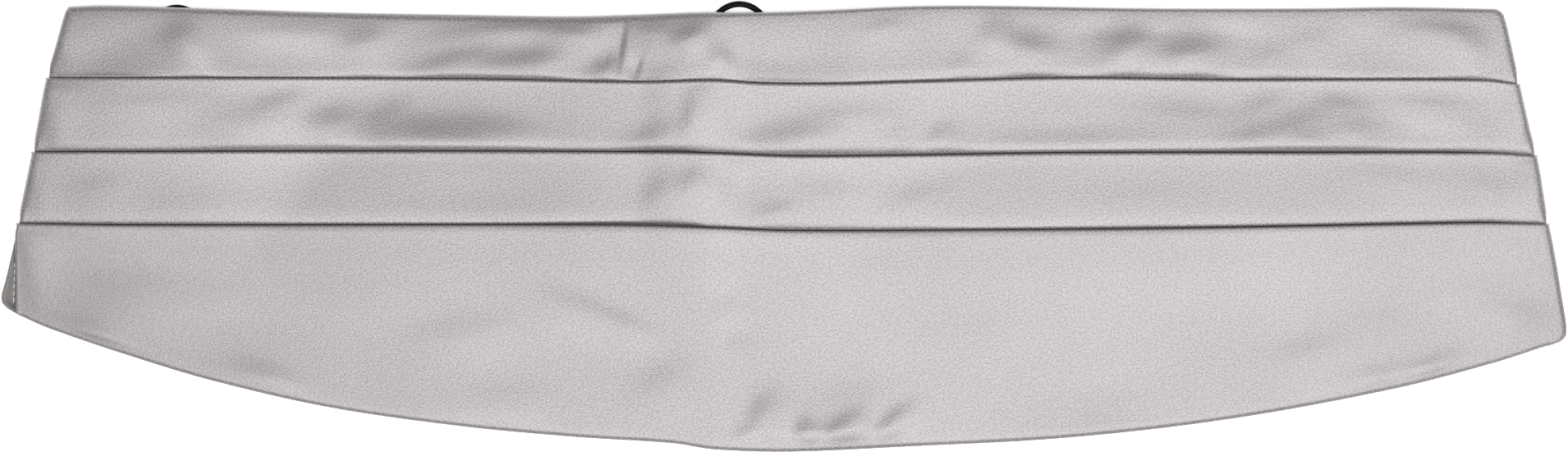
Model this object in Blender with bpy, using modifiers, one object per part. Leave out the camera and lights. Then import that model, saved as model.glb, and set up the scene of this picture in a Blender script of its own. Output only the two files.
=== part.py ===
"""Cummerbund laid flat with its pleated front up.

Metres, +Z up. +X runs along the band, +Y runs to its top edge, and the cloth rests on z = 0.
Sizes are in millimetres until a point is placed."""

import math
from collections import namedtuple

import bmesh
import bpy
from mathutils import Vector

MM = 0.001

# Driving sizes
CLOTH = 1.0  # wall of the front, the back and the elastic
SEAM_GAP = 0.3  # between two pieces, and between two layers of a pleat
PLEATS = 3
UNDERLAY = 10.0  # how far each pleat's hidden layers run below its fold
LAYER_INSET = 1.5  # the hidden layers end this far inside the side seams
BACK_INSET = 0.5  # the back is cut this much smaller, so that the front rolls over it
STRAP_WIDTH = 13.0
HARDWARE = 1.0  # thickness of the ring, the slider and the hook
RING_RADIUS = 10.9
RING_STOCK = 1.8
SLIDER_RADIUS = 10.0
HOOK_WIDTH = 6.0
HOOK_PLATE_WIDTH = 16.4

# Places of the hardware, from the middle of the band
RING_AT = (-15.2, 66.3)
SLIDER_AT = (-208.5, 66.0)
FOLD_RIDGE_X = -25.2

# Heights of the middle of each layer above the table
PITCH = CLOTH + SEAM_GAP
BACK_BASE = 0.0
LAYER_LOW = PITCH + CLOTH / 2
LAYER_MID = LAYER_LOW + PITCH
LAYER_TOP = LAYER_MID + PITCH
TURN = PITCH / 2

Mark = namedtuple("Mark", "x y")

# The lines that run the length of the front, from its top edge to its bottom edge
TOP_EDGE = [
    Mark(-245.5, 74.9), Mark(-232.5, 75.3), Mark(-195.9, 74.2), Mark(-156.4, 73.0),
    Mark(-111.2, 72.2), Mark(-71.8, 71.6), Mark(-49.2, 72.2), Mark(-26.6, 73.0),
    Mark(-15.4, 72.8), Mark(12.8, 73.6), Mark(41.0, 75.0), Mark(69.2, 75.3),
    Mark(125.6, 74.4), Mark(182.0, 74.4), Mark(210.2, 74.8), Mark(244.1, 74.2),
]
FOLD_ONE = [
    Mark(-249.4, 50.8), Mark(-111.2, 50.5), Mark(-49.2, 49.4), Mark(-24.0, 49.9),
    Mark(-6.9, 48.9), Mark(20.0, 48.8), Mark(41.0, 49.4), Mark(97.4, 50.8),
    Mark(153.8, 50.2), Mark(240.0, 50.1), Mark(252.5, 48.7),
]
FOLD_TWO = [
    Mark(-256.8, 25.4), Mark(-111.2, 25.7), Mark(-40.0, 25.3), Mark(-23.8, 25.0),
    Mark(5.0, 24.0), Mark(41.0, 24.3), Mark(97.4, 25.1), Mark(182.0, 25.2),
    Mark(243.0, 25.1), Mark(257.6, 24.3),
]
FOLD_THREE = [
    Mark(-263.0, 0.9), Mark(-224.0, 0.3), Mark(-60.0, 0.3), Mark(-23.8, -0.6),
    Mark(2.0, -1.6), Mark(69.2, -1.4), Mark(125.6, -0.9), Mark(182.0, 0.0),
    Mark(238.0, 1.1), Mark(262.4, 0.8),
]
BOTTOM_EDGE = [
    Mark(-262.1, -30.7), Mark(-252.3, -35.0), Mark(-224.0, -44.6), Mark(-195.9, -53.0),
    Mark(-156.4, -62.0), Mark(-111.2, -68.5), Mark(-71.8, -72.2), Mark(-37.9, -74.4),
    Mark(-23.8, -76.5), Mark(1.6, -77.3), Mark(41.0, -75.6), Mark(97.4, -72.5),
    Mark(153.8, -66.0), Mark(210.2, -55.6), Mark(244.1, -46.8), Mark(262.4, -40.9),
]
LINES = [TOP_EDGE, FOLD_ONE, FOLD_TWO, FOLD_THREE, BOTTOM_EDGE]

Side = namedtuple("Side", "y x")

# The two ends, from the bottom up
LEFT_END = [
    Side(-31.0, -261.6), Side(-28.2, -266.9), Side(-25.4, -268.9), Side(-18.3, -267.3),
    Side(-7.1, -264.7), Side(4.2, -262.4), Side(21.2, -258.8), Side(32.4, -256.5),
    Side(49.4, -253.1), Side(63.5, -249.1), Side(73.0, -246.4), Side(74.9, -245.3),
]
RIGHT_END = [
    Side(-40.9, 263.0), Side(-39.3, 267.2), Side(-36.7, 268.9), Side(-24.0, 267.2),
    Side(-7.1, 264.4), Side(4.2, 262.1), Side(21.2, 259.3), Side(32.4, 256.5),
    Side(49.4, 252.5), Side(63.5, 249.4), Side(72.5, 247.0), Side(74.2, 245.0),
]
FRONT_LOWER_LEFT = -263.8  # below the third fold the front's left seam runs straight down here

Lie = namedtuple("Lie", "x y")

# The middle of the elastic under the panel
STRAP_LINE = [
    Lie(-248.0, 60.6), Lie(-208.5, 66.0), Lie(-156.4, 62.9), Lie(-71.8, 62.3),
    Lie(-40.0, 65.4), Lie(-20.0, 65.6), Lie(3.0, 64.3), Lie(40.0, 64.0), Lie(125.6, 63.2),
    Lie(248.0, 60.6),
]

Hump = namedtuple("Hump", "x height reach")

# How far the elastic and its hardware lift the panel, and how far from the elastic's middle
HUMPS = [
    Hump(-266.0, 2.4, 9.5), Hump(-228.0, 4.0, 11.2), Hump(-190.0, 4.0, 11.2),
    Hump(-145.0, 1.5, 8.5), Hump(-95.0, 1.5, 8.5), Hump(-50.0, 3.6, 10.0),
    Hump(-38.0, 4.1, 11.2), Hump(20.0, 4.1, 11.2), Hump(34.0, 3.5, 10.0),
    Hump(80.0, 1.5, 8.5), Hump(260.0, 1.5, 8.5),
]
FLANK_RUN = 13.0  # the panel comes down from a hump over this many times the hump's height
RIDGE_HEIGHT = 0.8
RIDGE_REACH = 18.0

# Stations along the band, as distances from one to the next
WIDE_STEP = 16.4
FINE_STEP = 7.0
FINE_ZONE = (-58.0, 26.0)
SLOPE_SPAN_X = 8.0
SLOPE_SPAN_Y = 4.0


def smooth_between(table, at):
    """Value at one position on the smooth line through a table of (position, value) rows."""
    if at <= table[0][0]:
        return table[0][1]
    if at >= table[-1][0]:
        return table[-1][1]
    slopes = []
    for index in range(len(table)):
        before = table[max(index - 1, 0)]
        after = table[min(index + 1, len(table) - 1)]
        slopes.append((after[1] - before[1]) / (after[0] - before[0]))
    index = 0
    while table[index + 1][0] < at:
        index += 1
    start, end = table[index], table[index + 1]
    length = end[0] - start[0]
    t = (at - start[0]) / length
    return (
        (2 * t**3 - 3 * t**2 + 1) * start[1]
        + (t**3 - 2 * t**2 + t) * length * slopes[index]
        + (3 * t**2 - 2 * t**3) * end[1]
        + (t**3 - t**2) * length * slopes[index + 1]
    )


def straight_between(table, at, column):
    """Value of one column at a position, on straight lines between the rows."""
    index = 0
    while index < len(table) - 2 and table[index + 1][0] < at:
        index += 1
    start, end = table[index], table[index + 1]
    t = min(max((at - start[0]) / (end[0] - start[0]), 0.0), 1.0)
    return start[column] + (end[column] - start[column]) * t


def ease(t):
    """Soft step from 0 to 1."""
    t = min(max(t, 0.0), 1.0)
    return t * t * (3 - 2 * t)


def fall(t):
    """Even slope from 0 to 1 with softened ends."""
    t = min(max(t, 0.0), 1.0)
    return (t + ease(t)) / 2


def lift(x, y):
    """How far the panel is held above the table at one place."""
    height = straight_between(HUMPS, x, 1)
    reach = straight_between(HUMPS, x, 2)
    beyond = abs(y - smooth_between(STRAP_LINE, x)) - reach
    over_strap = height * (1 - fall(beyond / (FLANK_RUN * height)))
    ridge = RIDGE_HEIGHT * (1 - ease(abs(x - FOLD_RIDGE_X) / RIDGE_REACH))
    return over_strap + ridge


def slope_room(x, y):
    """Extra height that a stack of parallel layers needs where the panel climbs over the elastic."""
    here = lift(x, y)
    along = max(abs(lift(x + step, y) - here) for step in (-SLOPE_SPAN_X, SLOPE_SPAN_X)) / SLOPE_SPAN_X
    across = max(abs(lift(x, y + step) - here) for step in (-SLOPE_SPAN_Y, SLOPE_SPAN_Y)) / SLOPE_SPAN_Y
    return math.sqrt(1 + along**2 + across**2)


Row = namedtuple("Row", "line share shift height inset")


def row_y(row, x):
    """Distance up the panel of one row of the cloth: a share of a band, then a shift."""
    start = smooth_between(LINES[row.line], x)
    if row.share:
        start += (smooth_between(LINES[row.line + 1], x) - start) * row.share
    return start + row.shift


def row_end(row, ends, guess):
    """Where a row meets the side seam."""
    x = guess
    for _ in range(3):
        x = smooth_between(ends, row_y(row, x))
    return x


def stations():
    """Shares of the way along the band, closer together round the fold at its middle."""
    left, right = LEFT_END[4].x, RIGHT_END[4].x
    spans = [(left, FINE_ZONE[0], WIDE_STEP), (*FINE_ZONE, FINE_STEP), (FINE_ZONE[1], right, WIDE_STEP)]
    places = []
    for start, end, step in spans:
        count = round((end - start) / step)
        places += [start + (end - start) * index / count for index in range(count)]
    places.append(right)
    return [(place - left) / (right - left) for place in places]


STATIONS = stations()
TOP_BAND_SHARES = (0.15, 0.35, 0.55, 0.75, 0.9)
BOTTOM_BAND_SHARES = (0.5, 0.68, 0.84, 0.94)
EDGE_ROLL = 1.2
PLEAT_MOUTH = 1.2
HUMP_FOOT_SHIFTS = (-CLOTH / 2 - TURN, -3.6)  # rows of the first pleat where the panel comes down off the ring


def front_rows():
    """The front's section from its top edge to its bottom edge, down through each pleat."""
    crown = (2.9, 3.0, 2.8, 2.4, 2.3)
    rows = [Row(0, 0, 0, LAYER_LOW, 0), Row(0, 0, -EDGE_ROLL, LAYER_LOW + 0.45, 0)]
    rows += [Row(0, share, 0, height, 0) for share, height in zip(TOP_BAND_SHARES, crown)]
    for pleat in range(1, PLEATS + 1):
        fold = -CLOTH / 2 - TURN
        foot = -UNDERLAY
        rests = HUMP_FOOT_SHIFTS if pleat == 1 else ()
        rows.append(Row(pleat, 0, PLEAT_MOUTH, LAYER_LOW + 0.2, 0))
        rows += [Row(pleat, 0, shift, LAYER_LOW, LAYER_INSET) for shift in rests]
        for degrees in (-90, -135, -180, -225, -270):
            angle = math.radians(degrees)
            rows.append(Row(
                pleat, 0, foot + TURN * math.cos(angle),
                (LAYER_LOW + LAYER_MID) / 2 + TURN * math.sin(angle), LAYER_INSET,
            ))
        rows += [Row(pleat, 0, shift, LAYER_MID, LAYER_INSET) for shift in rests[:0:-1]]
        for degrees in (-90, -45, 0, 45, 90):
            angle = math.radians(degrees)
            rows.append(Row(
                pleat, 0, fold + TURN * math.cos(angle),
                (LAYER_MID + LAYER_TOP) / 2 + TURN * math.sin(angle), LAYER_INSET * (90 - degrees) / 180,
            ))
        rows += [Row(pleat, 0, shift, LAYER_TOP, 0) for shift in rests[1:]]
        rows.append(Row(pleat, 0, foot - 1.4, LAYER_TOP, 0))
        rows.append(Row(pleat, 0, foot - 5.0, LAYER_TOP - 0.7, 0))
        rows.append(Row(pleat, 0, foot - 9.5, LAYER_TOP - 1.6, 0))
    crown = (2.2, 2.2, 2.3, 2.25)
    rows += [Row(PLEATS, share, 0, height, 0) for share, height in zip(BOTTOM_BAND_SHARES, crown)]
    rows += [Row(PLEATS + 1, 0, EDGE_ROLL, LAYER_LOW + 0.25, 0), Row(PLEATS + 1, 0, 0, LAYER_LOW, 0)]
    return rows


def front_point(row, station):
    left = row_end(row, LEFT_END, -255.0)
    if row_y(row, left) < FOLD_THREE[0].y:
        left = max(left, FRONT_LOWER_LEFT)
    left += row.inset
    right = row_end(row, RIGHT_END, 255.0) - row.inset
    x = left + (right - left) * station
    y = row_y(row, x)
    return Vector((x, y, row.height * slope_room(x, y) + lift(x, y)))


def back_rows():
    """The back's rows. They match the front's lowest rows, so that both rise together."""
    rows = [Row(0, 0, -BACK_INSET, BACK_BASE, 0)]
    rows += [Row(0, share, 0, BACK_BASE, 0) for share in TOP_BAND_SHARES]
    rows += [Row(1, 0, shift, BACK_BASE, 0) for shift in (PLEAT_MOUTH, *HUMP_FOOT_SHIFTS, -UNDERLAY)]
    rows += [Row(line, 0, shift, BACK_BASE, 0) for line in (2, 3) for shift in (PLEAT_MOUTH, -UNDERLAY)]
    rows += [Row(PLEATS, share, 0, BACK_BASE, 0) for share in BOTTOM_BAND_SHARES]
    rows.append(Row(PLEATS + 1, 0, BACK_INSET, BACK_BASE, 0))
    return rows


def back_point(row, station):
    left = row_end(row, LEFT_END, -255.0)
    if row_y(row, left) >= FOLD_THREE[0].y:
        left += BACK_INSET
    right = row_end(row, RIGHT_END, 255.0) - BACK_INSET
    x = left + (right - left) * station
    y = row_y(row, x)
    return Vector((x, y, row.height + lift(x, y)))


def material(name, colour, roughness, metallic=0.0):
    """Plain surface in linear colour."""
    made = bpy.data.materials.new(name)
    made.use_nodes = True
    shader = made.node_tree.nodes["Principled BSDF"]
    shader.inputs["Base Color"].default_value = (*colour, 1.0)
    shader.inputs["Roughness"].default_value = roughness
    shader.inputs["Metallic"].default_value = metallic
    return made


def sheet(name, point_at, rows, columns, thickness, offset, finish, home):
    """Wall of cloth or metal: a grid with each vertex placed by point_at, made thick by Solidify."""
    grid = bmesh.new()
    bmesh.ops.create_grid(grid, x_segments=columns - 1, y_segments=rows - 1, size=1.0)
    for vertex in grid.verts:
        column = round((vertex.co.x + 1) / 2 * (columns - 1))
        row = round((1 - vertex.co.y) / 2 * (rows - 1))
        vertex.co = point_at(row, column) * MM
    bmesh.ops.triangulate(grid, faces=grid.faces, quad_method="FIXED")
    mesh = bpy.data.meshes.new(name)
    grid.to_mesh(mesh)
    grid.free()
    made = bpy.data.objects.new(name, mesh)
    home.objects.link(made)
    mesh.materials.append(finish)
    mesh.shade_smooth()
    wall = made.modifiers.new("wall", "SOLIDIFY")
    wall.thickness = thickness * MM
    wall.offset = offset
    wall.use_even_offset = True
    return made


def ribbon(name, path, finish, home):
    """Flat strip that follows a path of (x, height, width) along the elastic's line."""
    def point_at(row, column):
        x, height, width = path[column]
        side = 1 - 2 * row
        return Vector((x, smooth_between(STRAP_LINE, x) + side * width / 2, height))

    return sheet(name, point_at, 2, len(path), CLOTH, 0.0, finish, home)


STRAP_LOW = CLOTH / 2
BAR_MID = CLOTH + SEAM_GAP + HARDWARE / 2
STRAP_HIGH = BAR_MID + HARDWARE / 2 + SEAM_GAP + CLOTH / 2
LOOP = BAR_MID - STRAP_LOW
TAIL_LENGTH = 12.0


def run(start, end, step):
    """Places from start towards end, without the end."""
    count = max(round(abs(end - start) / step), 1)
    return [start + (end - start) * index / count for index in range(count)]


def loop_end(turn_x, clear_x, towards, width):
    """Elastic turned up round a bar and laid back on itself. towards is 1 where it runs on to +X."""
    path = []
    for degrees in range(-90, 91, 30):
        angle = math.radians(degrees)
        path.append((turn_x + towards * LOOP * math.cos(angle), BAR_MID + LOOP * math.sin(angle), width))
    path.append((clear_x, STRAP_HIGH, width))
    path.append((clear_x - towards * 3.0, STRAP_HIGH - 0.5, width))
    path.append((clear_x - towards * 7.0, BAR_MID + 0.1, width))
    path.append((clear_x - towards * 9.0, BAR_MID, width))
    path.append((clear_x - towards * (9.0 + TAIL_LENGTH), BAR_MID, width))
    return path


def left_strap_path():
    """From the left seam, over the slider's bar, to its loop round the ring."""
    slider_x = SLIDER_AT[0]
    path = [(x, STRAP_LOW, STRAP_WIDTH) for x in (-246.0, -232.0, slider_x - SLIDER_RADIUS)]
    for away, height in ((-4.7, STRAP_LOW), (-1.3, STRAP_HIGH), (1.3, STRAP_HIGH), (4.7, STRAP_LOW)):
        path.append((slider_x + away, height, STRAP_WIDTH))
    ring_left = RING_AT[0] - RING_RADIUS
    for x in run(slider_x + SLIDER_RADIUS, ring_left - 4.0, 14.0):
        path.append((x, STRAP_LOW, STRAP_WIDTH))
    return path + loop_end(ring_left + 5.9, ring_left - 1.0, 1, STRAP_WIDTH)


HOOK_TURN_X = RING_AT[0] + RING_RADIUS - RING_STOCK - 1.5
HOOK_SLOT = (5.0, 8.5)
HOOK_END = 11.0


def hook_path():
    """Lip under the ring, turn inside it, over the ring and down to the plate that holds the elastic."""
    path = [(HOOK_TURN_X + 5.0, STRAP_LOW, HOOK_WIDTH)]
    for degrees in range(-90, -271, -30):
        angle = math.radians(degrees)
        path.append((HOOK_TURN_X + LOOP * math.cos(angle), BAR_MID + LOOP * math.sin(angle), HOOK_WIDTH))
    path.append((RING_AT[0] + RING_RADIUS + 0.8, STRAP_HIGH, HOOK_WIDTH))
    path.append((0.0, BAR_MID + 0.1, HOOK_WIDTH + 4))
    path.append((1.5, BAR_MID, HOOK_PLATE_WIDTH - 2))
    path.append((3.0, BAR_MID, HOOK_PLATE_WIDTH))
    path.append((HOOK_END - 1.0, BAR_MID, HOOK_PLATE_WIDTH))
    path.append((HOOK_END, BAR_MID, HOOK_PLATE_WIDTH - 2))
    return path


def right_strap_path():
    """From the right seam to its loop round the hook's bar."""
    path = [(x, STRAP_LOW, STRAP_WIDTH) for x in run(246.0, HOOK_SLOT[1], 14.0)]
    return path + loop_end(HOOK_SLOT[1] - 0.5, HOOK_END + 1.0, -1, STRAP_WIDTH)


def flat_ring(name, outer_radius, at, finish, home):
    """Ring of flattened round stock that lies on the elastic."""
    bpy.ops.mesh.primitive_torus_add(
        major_radius=(outer_radius - RING_STOCK / 2) * MM, minor_radius=RING_STOCK / 2 * MM,
        major_segments=36, minor_segments=8,
    )
    made = bpy.context.object
    made.name = name
    made.data.name = name
    for vertex in made.data.vertices:
        vertex.co.z *= HARDWARE / RING_STOCK
    made.data.shade_smooth()
    made.data.materials.append(finish)
    made.location = Vector((at[0], at[1], BAR_MID)) * MM
    for collection in made.users_collection:
        collection.objects.unlink(made)
    home.objects.link(made)
    return made


def block(name, size, at, home):
    """Box by its size and its middle."""
    bpy.ops.mesh.primitive_cube_add(size=1.0)
    made = bpy.context.object
    made.name = name
    made.data.name = name
    for vertex in made.data.vertices:
        vertex.co = Vector(tuple(c * s * MM for c, s in zip(vertex.co, size)))
    made.location = Vector(at) * MM
    made.hide_render = True
    made.display_type = "WIRE"
    for collection in made.users_collection:
        collection.objects.unlink(made)
    home.objects.link(made)
    return made


def boolean(target, tool, operation):
    cut = target.modifiers.new(operation.lower(), "BOOLEAN")
    cut.operation = operation
    cut.solver = "EXACT"
    cut.object = tool


def main():
    for old in list(bpy.data.objects):
        bpy.data.objects.remove(old, do_unlink=True)
    home = bpy.data.collections.new("cummerbund")
    cutters = bpy.data.collections.new("cutters")
    bpy.context.scene.collection.children.link(home)
    bpy.context.scene.collection.children.link(cutters)

    satin = material("satin_front", (0.57, 0.55, 0.55), 0.38)
    lining = material("satin_back", (0.24, 0.23, 0.22), 0.5)
    elastic = material("black_elastic", (0.012, 0.011, 0.010), 0.85)
    matte_black = material("matte_black_metal", (0.010, 0.009, 0.008), 0.55, 0.3)

    rows = front_rows()
    sheet(
        "front_panel", lambda row, column: front_point(rows[row], STATIONS[column]),
        len(rows), len(STATIONS), CLOTH, 0.0, satin, home,
    )
    behind = back_rows()
    sheet(
        "back_panel", lambda row, column: back_point(behind[row], STATIONS[column]),
        len(behind), len(STATIONS), CLOTH, 1.0, lining, home,
    )
    ribbon("strap_left", left_strap_path(), elastic, home)
    ribbon("strap_right", right_strap_path(), elastic, home)
    flat_ring("ring", RING_RADIUS, RING_AT, matte_black, home)

    slider = flat_ring("slider", SLIDER_RADIUS, SLIDER_AT, matte_black, home)
    bar_length = 2 * (SLIDER_RADIUS - RING_STOCK / 2)
    bar = block("slider_bar", (1.6, bar_length, HARDWARE * 0.8), (*SLIDER_AT, BAR_MID), cutters)
    boolean(slider, bar, "UNION")

    hook = ribbon("hook", hook_path(), matte_black, home)
    slot_middle = sum(HOOK_SLOT) / 2
    slot = block(
        "hook_slot", (HOOK_SLOT[1] - HOOK_SLOT[0], STRAP_WIDTH + 1.2, 3 * HARDWARE),
        (slot_middle, smooth_between(STRAP_LINE, slot_middle), BAR_MID), cutters,
    )
    boolean(hook, slot, "DIFFERENCE")


main()
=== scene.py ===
# %% [markdown]
# # A pleated cummerbund, laid flat
#
# The real thing is one width of silver-grey satin, laid in three knife pleats and bagged out
# with a plain back. Black elastic runs beneath it to a ring and a hook, and a little of the ring
# and of the slider shows above the top edge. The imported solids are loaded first. They give the
# place and the size of each part, and everything made here sits on them.

# %% Load the solids
import math
from bisect import bisect_right
from collections import namedtuple

import bmesh
import bpy
from mathutils import Matrix, Vector


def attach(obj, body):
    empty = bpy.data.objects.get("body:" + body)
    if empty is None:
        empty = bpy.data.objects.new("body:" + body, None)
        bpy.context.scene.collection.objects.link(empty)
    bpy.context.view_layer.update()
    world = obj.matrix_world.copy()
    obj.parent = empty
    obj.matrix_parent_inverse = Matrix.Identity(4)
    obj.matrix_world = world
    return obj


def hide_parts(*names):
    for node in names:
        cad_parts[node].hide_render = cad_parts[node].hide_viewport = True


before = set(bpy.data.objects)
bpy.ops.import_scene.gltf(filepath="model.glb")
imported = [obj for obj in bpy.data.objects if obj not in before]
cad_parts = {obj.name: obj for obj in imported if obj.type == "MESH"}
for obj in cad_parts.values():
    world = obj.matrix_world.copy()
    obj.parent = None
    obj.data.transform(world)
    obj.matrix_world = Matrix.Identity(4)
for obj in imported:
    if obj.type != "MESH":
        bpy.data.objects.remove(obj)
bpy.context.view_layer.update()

print("solids:", sorted(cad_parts))

# %% [markdown]
# ## Small helpers
#
# Sizes are written in millimetres and turned to metres when a point is placed. Cloth has no hard
# corners, so its heights are mixed with soft steps and with smooth lines through a few rows.

# %% Helpers for numbers
MM = 0.001


def ease(t):
    """Soft step from 0 to 1."""
    t = min(max(t, 0.0), 1.0)
    return t * t * (3 - 2 * t)


def quarter_round(t):
    """Height of a quarter circle: 0 at its rim, 1 once t reaches 1."""
    return math.sqrt(1 - (1 - min(max(t, 0.0), 1.0)) ** 2)


print("a soft step at its quarter:", ease(0.25))


# %% Helper for a smooth line through a table
def smooth_line(table):
    """A function that gives the smooth line through a table of (position, value) rows."""
    places = [row[0] for row in table]
    slopes = []
    for index in range(len(table)):
        before = table[max(index - 1, 0)]
        after = table[min(index + 1, len(table) - 1)]
        slopes.append((after[1] - before[1]) / (after[0] - before[0]))

    def value_at(place):
        if place <= places[0]:
            return table[0][1]
        if place >= places[-1]:
            return table[-1][1]
        index = bisect_right(places, place) - 1
        start, end = table[index], table[index + 1]
        length = end[0] - start[0]
        t = (place - start[0]) / length
        return (
            (2 * t**3 - 3 * t**2 + 1) * start[1]
            + (t**3 - 2 * t**2 + t) * length * slopes[index]
            + (3 * t**2 - 2 * t**3) * end[1]
            + (t**3 - t**2) * length * slopes[index + 1]
        )

    return value_at


print("halfway along a straight line:", smooth_line([(0.0, 0.0), (1.0, 1.0)])(0.5))

# %% [markdown]
# ## Helpers for finishes and pieces
#
# Colours are written as they look on a screen and turned to the linear values that a shader
# expects. One function adds a node of any kind.

# %% Helpers for colours and nodes
def linear(hex_code):
    """Linear colour from an sRGB hex value."""
    parts = [int(hex_code[start:start + 2], 16) / 255 for start in (1, 3, 5)]
    return (*[p / 12.92 if p <= 0.04045 else ((p + 0.055) / 1.055) ** 2.4 for p in parts], 1.0)


def add(tree, kind, inputs=None, **settings):
    """Adds a node with its settings. An input is a value, or the socket that feeds it."""
    node = tree.nodes.new(kind)
    for name, value in settings.items():
        setattr(node, name, value)
    for name, value in (inputs or {}).items():
        if isinstance(value, bpy.types.NodeSocket):
            tree.links.new(value, node.inputs[name])
        else:
            node.inputs[name].default_value = value
    return node


def new_finish(name):
    """An empty node material and its tree."""
    finish = bpy.data.materials.new(name)
    finish.use_nodes = True
    finish.node_tree.nodes.clear()
    return finish, finish.node_tree


print("mid grey in linear light:", round(linear("#808080")[0], 3))

# %% Helper for a finished piece
BODY = "root"


def new_piece(name, shape, finish, replaced=()):
    """Turns a bmesh into a smooth piece that rides on the body and stands for its solids."""
    mesh = bpy.data.meshes.new(name)
    shape.to_mesh(mesh)
    shape.free()
    mesh.materials.append(finish)
    mesh.shade_smooth()
    piece = bpy.data.objects.new(name, mesh)
    bpy.context.scene.collection.objects.link(piece)
    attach(piece, BODY)
    if replaced:
        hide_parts(*replaced)
    print(name, len(mesh.polygons), "faces")
    return piece


# %% [markdown]
# ## Camera
#
# The photograph looks straight down on the band, and its 1910 pixels cover the band's length at
# 0.282 mm a pixel. A long lens from two and a half metres up keeps the folds from leaning. The
# lens is worked out from the width of cloth that the picture spans.

# %% Camera over the band
PHOTO_WIDTH = 1910
MM_PER_PIXEL = 0.282
CLOTH_TOP = 3.0
CAMERA_UP = 2500.0
CAMERA_RIGHT = 0.14

camera_data = bpy.data.cameras.new("camera")
camera_data.lens = camera_data.sensor_width * (CAMERA_UP - CLOTH_TOP) / (PHOTO_WIDTH * MM_PER_PIXEL)
camera_data.clip_end = 20.0
camera = bpy.data.objects.new("camera", camera_data)
camera.location = Vector((CAMERA_RIGHT, 0.0, CAMERA_UP)) * MM
bpy.context.scene.collection.objects.link(camera)
bpy.context.scene.camera = camera
print("lens", round(camera_data.lens, 1), "mm")

# %% [markdown]
# ## Light
#
# Satin shows its lamps. It is evenly bright where it lies flat and darker where it leans to the
# top of the picture. So one wide softbox hangs nearly overhead, a little towards the bottom of
# the picture. A weak lamp low at the right and a soft white world lift the shades. Standard
# colour keeps white as white.

# %% Two softboxes and a white world
def softbox(name, at, width, depth, watts):
    """Area lamp that faces the middle of the band."""
    lamp = bpy.data.lights.new(name, "AREA")
    lamp.shape = "RECTANGLE"
    lamp.size, lamp.size_y = width, depth
    lamp.energy = watts
    placed = bpy.data.objects.new(name, lamp)
    placed.location = at
    placed.rotation_euler = (-Vector(at)).to_track_quat("-Z", "Y").to_euler()
    bpy.context.scene.collection.objects.link(placed)
    print(name, watts, "W,", width, "x", depth, "m")


softbox("lamp_front", at=(0.12, -0.35, 1.75), width=1.5, depth=0.85, watts=38.8)
softbox("lamp_low_right", at=(1.1, -0.9, 0.7), width=0.6, depth=0.6, watts=5.0)

world = bpy.data.worlds.new("studio")
world.use_nodes = True
sky = world.node_tree.nodes["Background"]
sky.inputs["Color"].default_value = linear("#FFFFFF")
sky.inputs["Strength"].default_value = 0.5
bpy.context.scene.world = world
bpy.context.scene.view_settings.view_transform = "Standard"

# %% [markdown]
# ## Floor
#
# The band lies on a white board. A matte white floor alone turns grey round the cloth, where the
# cloth keeps the light off it, so the board also glows a little. It is not attached to the band:
# it belongs to the picture and not to the band.

# %% White board under the band
FLOOR_HALF = 3.0
FLOOR_DROP = 0.2

floor_finish, floor_tree = new_finish("painted_board_white")
floor_shader = add(floor_tree, "ShaderNodeBsdfPrincipled", {
    "Base Color": linear("#FAFAFA"), "Roughness": 0.9, "Specular IOR Level": 0.1,
    "Emission Color": linear("#FFFFFF"), "Emission Strength": 0.45,
})
add(floor_tree, "ShaderNodeOutputMaterial", {"Surface": floor_shader.outputs["BSDF"]})
floor_shape = bmesh.new()
bmesh.ops.create_grid(floor_shape, x_segments=1, y_segments=1, size=FLOOR_HALF)
bmesh.ops.translate(floor_shape, verts=floor_shape.verts, vec=(0.0, 0.0, -FLOOR_DROP * MM))
floor_mesh = bpy.data.meshes.new("floor")
floor_shape.to_mesh(floor_mesh)
floor_shape.free()
floor_mesh.materials.append(floor_finish)
floor = bpy.data.objects.new("floor", floor_mesh)
bpy.context.scene.collection.objects.link(floor)
print("floor", 2 * FLOOR_HALF, "m wide,", FLOOR_DROP, "mm under the band")

# %% [markdown]
# ## The lines of the front
#
# A maker marks the top edge, three fold lines and the curved bottom edge on the satin. Each is a
# short table of places along and up the band, in millimetres, and a smooth line runs through its
# rows. A drawn curve would do for one line, but here a row of cloth can lie anywhere between two
# of them. They step down a little past the soft fold at the middle of the band. The two ends are
# the other way round: how far out the side seam lies at each height.

# %% Top edge and fold lines
Mark = namedtuple("Mark", "x y")

TOP_EDGE = [
    Mark(-245.5, 74.9), Mark(-232.5, 75.3), Mark(-195.9, 74.2), Mark(-156.4, 73.0),
    Mark(-111.2, 72.2), Mark(-71.8, 71.6), Mark(-49.2, 72.2), Mark(-26.6, 73.0),
    Mark(-15.4, 72.8), Mark(12.8, 73.6), Mark(41.0, 75.0), Mark(69.2, 75.3),
    Mark(125.6, 74.4), Mark(182.0, 74.4), Mark(210.2, 74.8), Mark(244.1, 74.2),
]
FOLD_ONE = [
    Mark(-249.4, 50.8), Mark(-111.2, 50.5), Mark(-49.2, 49.4), Mark(-24.0, 49.9),
    Mark(-6.9, 48.9), Mark(20.0, 48.8), Mark(41.0, 49.4), Mark(97.4, 50.8),
    Mark(153.8, 50.2), Mark(240.0, 50.1), Mark(252.5, 48.7),
]
FOLD_TWO = [
    Mark(-256.8, 25.4), Mark(-111.2, 25.7), Mark(-40.0, 25.3), Mark(-23.8, 25.0),
    Mark(5.0, 24.0), Mark(41.0, 24.3), Mark(97.4, 25.1), Mark(182.0, 25.2),
    Mark(243.0, 25.1), Mark(257.6, 24.3),
]
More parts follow.
